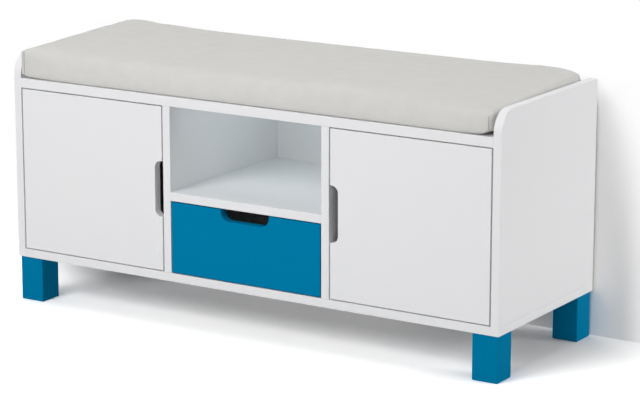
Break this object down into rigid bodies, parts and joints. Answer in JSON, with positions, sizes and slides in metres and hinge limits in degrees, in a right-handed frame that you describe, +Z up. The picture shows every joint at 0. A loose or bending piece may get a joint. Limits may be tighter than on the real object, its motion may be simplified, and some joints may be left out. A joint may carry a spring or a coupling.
{
  "type": "entryway bench",
  "caption": "White board storage bench with a padded seat between low arms, hinged doors beside an open cubby over a blue drawer, on square blue legs.",
  "frame": {"origin": "on the floor, under the middle of the bench", "axes": "+X to the right as seen from the front, the front faces -Y, +Z up"},
  "size_m": [1.04, 0.36, 0.4932],
  "materials": {
    "white_board": "satin",
    "back_board": "matte",
    "drawer_board": "satin",
    "blue_lacquer": "satin",
    "zinc": "satin",
    "nickel": "gloss",
    "coated_steel": "satin",
    "nylon": "satin",
    "catch_plastic": "matte",
    "beech": "matte",
    "cover_cloth": "matte",
    "foam": "matte"
  },
  "bodies": {
    "carcass": {"bottom_panel": "white_board", "left_side_panel": "white_board", "right_side_panel": "white_board", "seat_panel": "white_board", "left_divider": "white_board", "right_divider": "white_board", "centre_shelf": "white_board", "back_panel": "back_board", "front_left_leg": "blue_lacquer", "front_right_leg": "blue_lacquer", "rear_left_leg": "blue_lacquer", "rear_right_leg": "blue_lacquer", "leg_inserts": "zinc", "leg_bolts": "zinc", "cam_locks": "zinc", "cam_bolts": "zinc", "wood_dowels": "beech", "confirmat_screws": "zinc", "back_panel_nails": "zinc", "fitting_screws": "zinc", "front_roller_axles": "nickel", "left_hinge_arms": "nickel", "right_hinge_arms": "nickel", "left_hinge_plates": "nickel", "right_hinge_plates": "nickel", "left_hinge_arm_screws": "zinc", "right_hinge_arm_screws": "zinc", "left_magnet_catch": "catch_plastic", "right_magnet_catch": "catch_plastic", "left_runner_rail": "coated_steel", "right_runner_rail": "coated_steel"},
    "left_door_leaf": {"left_door": "white_board", "left_hinge_cups": "nickel", "left_hinge_pins": "nickel", "left_door_screws": "zinc", "left_strike_plate": "zinc"},
    "right_door_leaf": {"right_door": "white_board", "right_hinge_cups": "nickel", "right_hinge_pins": "nickel", "right_door_screws": "zinc", "right_strike_plate": "zinc"},
    "drawer": {"drawer_front": "blue_lacquer", "drawer_left_side": "drawer_board", "drawer_right_side": "drawer_board", "drawer_back": "drawer_board", "drawer_base": "back_board", "left_drawer_rail": "coated_steel", "right_drawer_rail": "coated_steel", "rear_roller_axles": "nickel", "drawer_rail_screws": "zinc", "drawer_back_screws": "zinc", "drawer_cam_locks": "zinc", "drawer_cam_bolts": "zinc"},
    "left_front_wheel": {"left_front_roller": "nylon"},
    "right_front_wheel": {"right_front_roller": "nylon"},
    "left_rear_wheel": {"left_rear_roller": "nylon"},
    "right_rear_wheel": {"right_rear_roller": "nylon"},
    "cushion": {"cushion_cover": "cover_cloth", "cushion_foam": "foam"}
  },
  "joints": [
    {"name": "left_door_hinge", "type": "hinge", "parent": "carcass", "child": "left_door_leaf", "pos_m": [-0.48733, -0.1719, 0.257], "axis": [0, 0, -1], "range_deg": [0, 95]},
    {"name": "right_door_hinge", "type": "hinge", "parent": "carcass", "child": "right_door_leaf", "pos_m": [0.48733, -0.1719, 0.257], "axis": [0, 0, 1], "range_deg": [0, 95]},
    {"name": "drawer_slide", "type": "slide", "parent": "carcass", "child": "drawer", "axis": [0, -1, 0], "range_m": [0, 0.22]},
    {"name": "left_front_roller_spin", "type": "hinge", "parent": "carcass", "child": "left_front_wheel", "pos_m": [-0.1564, -0.146, 0.1255], "axis": [1, 0, 0], "range_deg": [0, 1051]},
    {"name": "right_front_roller_spin", "type": "hinge", "parent": "carcass", "child": "right_front_wheel", "pos_m": [0.1564, -0.146, 0.1255], "axis": [1, 0, 0], "range_deg": [0, 1051]},
    {"name": "left_rear_roller_spin", "type": "hinge", "parent": "drawer", "child": "left_rear_wheel", "pos_m": [-0.1564, 0.12, 0.1225], "axis": [1, 0, 0], "range_deg": [0, 1051]},
    {"name": "right_rear_roller_spin", "type": "hinge", "parent": "drawer", "child": "right_rear_wheel", "pos_m": [0.1564, 0.12, 0.1225], "axis": [1, 0, 0], "range_deg": [0, 1051]},
    {"name": "cushion_lift", "type": "slide", "parent": "carcass", "child": "cushion", "axis": [0, 0, 1], "range_m": [0, 0.15]}
  ],
  "couplings": [
    {"joint": "left_front_roller_spin", "follows": "drawer_slide", "rad_per_m": 83.333},
    {"joint": "right_front_roller_spin", "follows": "drawer_slide", "rad_per_m": 83.333},
    {"joint": "left_rear_roller_spin", "follows": "drawer_slide", "rad_per_m": 83.333},
    {"joint": "right_rear_roller_spin", "follows": "drawer_slide", "rad_per_m": 83.333}
  ]
}
